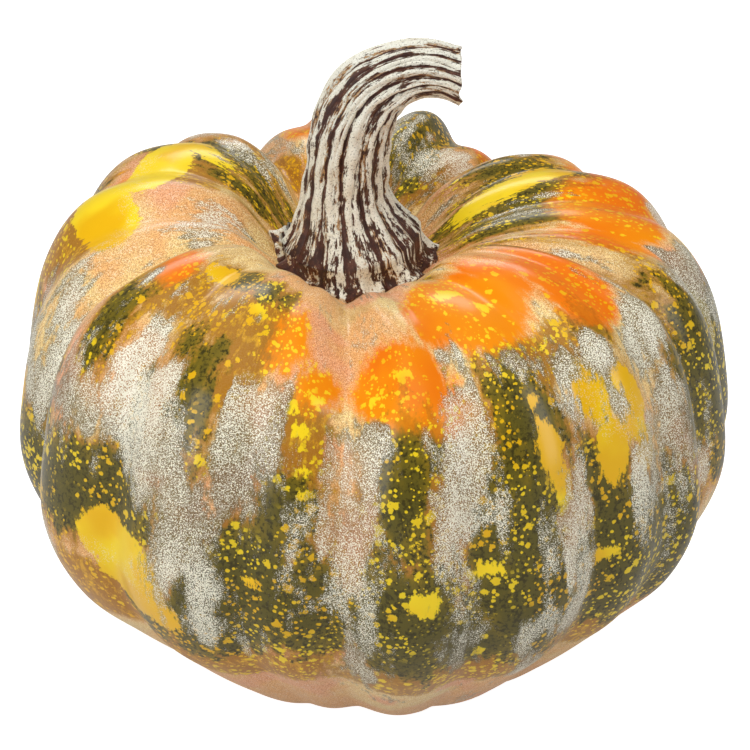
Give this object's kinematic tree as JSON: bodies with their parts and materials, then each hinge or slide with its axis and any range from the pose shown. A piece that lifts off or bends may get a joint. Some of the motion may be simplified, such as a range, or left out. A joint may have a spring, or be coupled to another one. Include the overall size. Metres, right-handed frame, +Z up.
{
  "type": "ceramic pumpkin figure",
  "caption": "Lobed pumpkin figure with a curved, fluted stem; hollow cast body, painted and glazed, standing on small felt pads.",
  "frame": {"origin": "middle of the whole box seen from above, at the height of the surface the felt pads rest on", "axes": "+Z up; -Y is the side the picture was taken from; +X is to the right in that view, the way the stem bends"},
  "size_m": [0.1816, 0.1788, 0.1675],
  "materials": {
    "painted_glaze": "mottled orange, yellow and olive paint with a fine white frost, under a clear gloss glaze",
    "stem_paint": "dark brown in the grooves, cream dry-brushed over the ridges, low sheen",
    "dowel_wood": "bare beech",
    "adhesive": "hard amber bead, low sheen",
    "felt": "dense dark brown felt"
  },
  "bodies": {
    "root": {"body_shell": "painted_glaze", "stem": "stem_paint", "stem_dowel": "dowel_wood", "stem_adhesive": "adhesive", "felt_pad_1": "felt", "felt_pad_2": "felt", "felt_pad_3": "felt", "felt_pad_4": "felt"}
  },
  "joints": []
}
